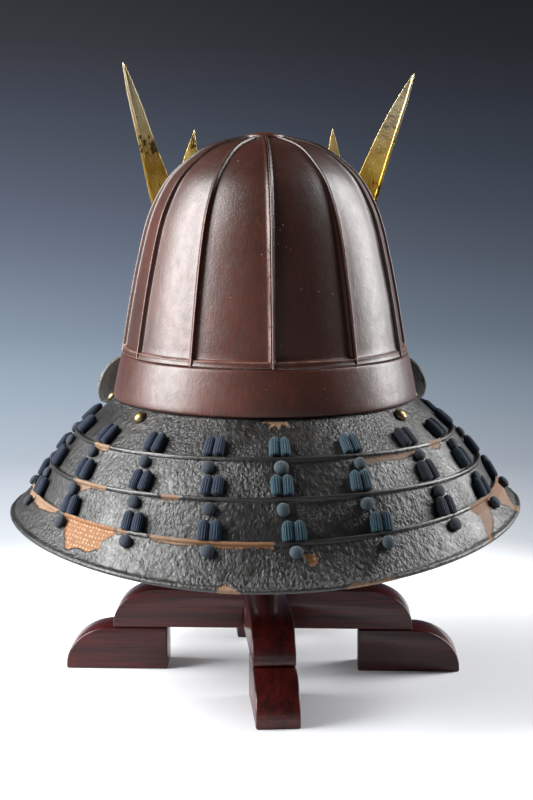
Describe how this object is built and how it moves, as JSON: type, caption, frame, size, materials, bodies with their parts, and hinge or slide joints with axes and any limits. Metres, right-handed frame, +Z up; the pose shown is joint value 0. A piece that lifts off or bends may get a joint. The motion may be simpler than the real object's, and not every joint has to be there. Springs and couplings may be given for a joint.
{
  "type": "kabuto samurai helmet on a wooden cross stand",
  "caption": "Ribbed russet iron helmet bowl with a gilt horned crest and a flaring laced leather neck guard, on a low dark wooden cross stand.",
  "frame": {"origin": "on the ground under the middle of the whole object's box", "axes": "+Z up; -Y is where the face looks, so the neck guard hangs at +Y; +X is the wearer's left"},
  "size_m": [0.3646, 0.3468, 0.4409],
  "materials": {
    "russet_lacquer": "satin russet lacquer over iron, a little worn along the ribs",
    "black_leather": "pebbled black lacquered leather, cracked and torn in places",
    "brass": "aged polished brass",
    "indigo_lace": "faded braided indigo lacing",
    "gilt": "worn gilding with dark tarnish",
    "stand_wood": "polished dark red-brown hardwood"
  },
  "bodies": {
    "root": {"bowl_plate_01": "russet_lacquer", "bowl_plate_02": "russet_lacquer", "bowl_plate_03": "russet_lacquer", "bowl_plate_04": "russet_lacquer", "bowl_plate_05": "russet_lacquer", "bowl_plate_06": "russet_lacquer", "bowl_plate_07": "russet_lacquer", "bowl_plate_08": "russet_lacquer", "bowl_plate_09": "russet_lacquer", "bowl_plate_10": "russet_lacquer", "bowl_plate_11": "russet_lacquer", "bowl_plate_12": "russet_lacquer", "crown_plate": "russet_lacquer", "brow_band": "russet_lacquer", "brow_peak": "russet_lacquer", "neck_lame_1": "black_leather", "neck_lame_2": "black_leather", "neck_lame_3": "black_leather", "neck_lame_4": "black_leather", "turned_flap_left": "black_leather", "turned_flap_right": "black_leather", "brass_dome_01": "brass", "brass_dome_02": "brass", "brass_dome_03": "brass", "brass_dome_04": "brass", "lace_column_01": "indigo_lace", "lace_column_02": "indigo_lace", "lace_column_03": "indigo_lace", "lace_column_04": "indigo_lace", "lace_column_05": "indigo_lace", "lace_column_06": "indigo_lace", "lace_column_07": "indigo_lace", "lace_column_08": "indigo_lace", "lace_column_09": "indigo_lace", "lace_column_10": "indigo_lace", "lace_column_11": "indigo_lace", "lace_column_12": "indigo_lace", "lace_column_13": "indigo_lace", "horn_left": "gilt", "horn_right": "gilt", "crest_holder": "gilt", "beam_across": "stand_wood", "beam_fore_aft": "stand_wood", "foot_left": "stand_wood", "foot_right": "stand_wood", "foot_back": "stand_wood", "foot_front": "stand_wood", "post": "stand_wood"}
  },
  "joints": []
}
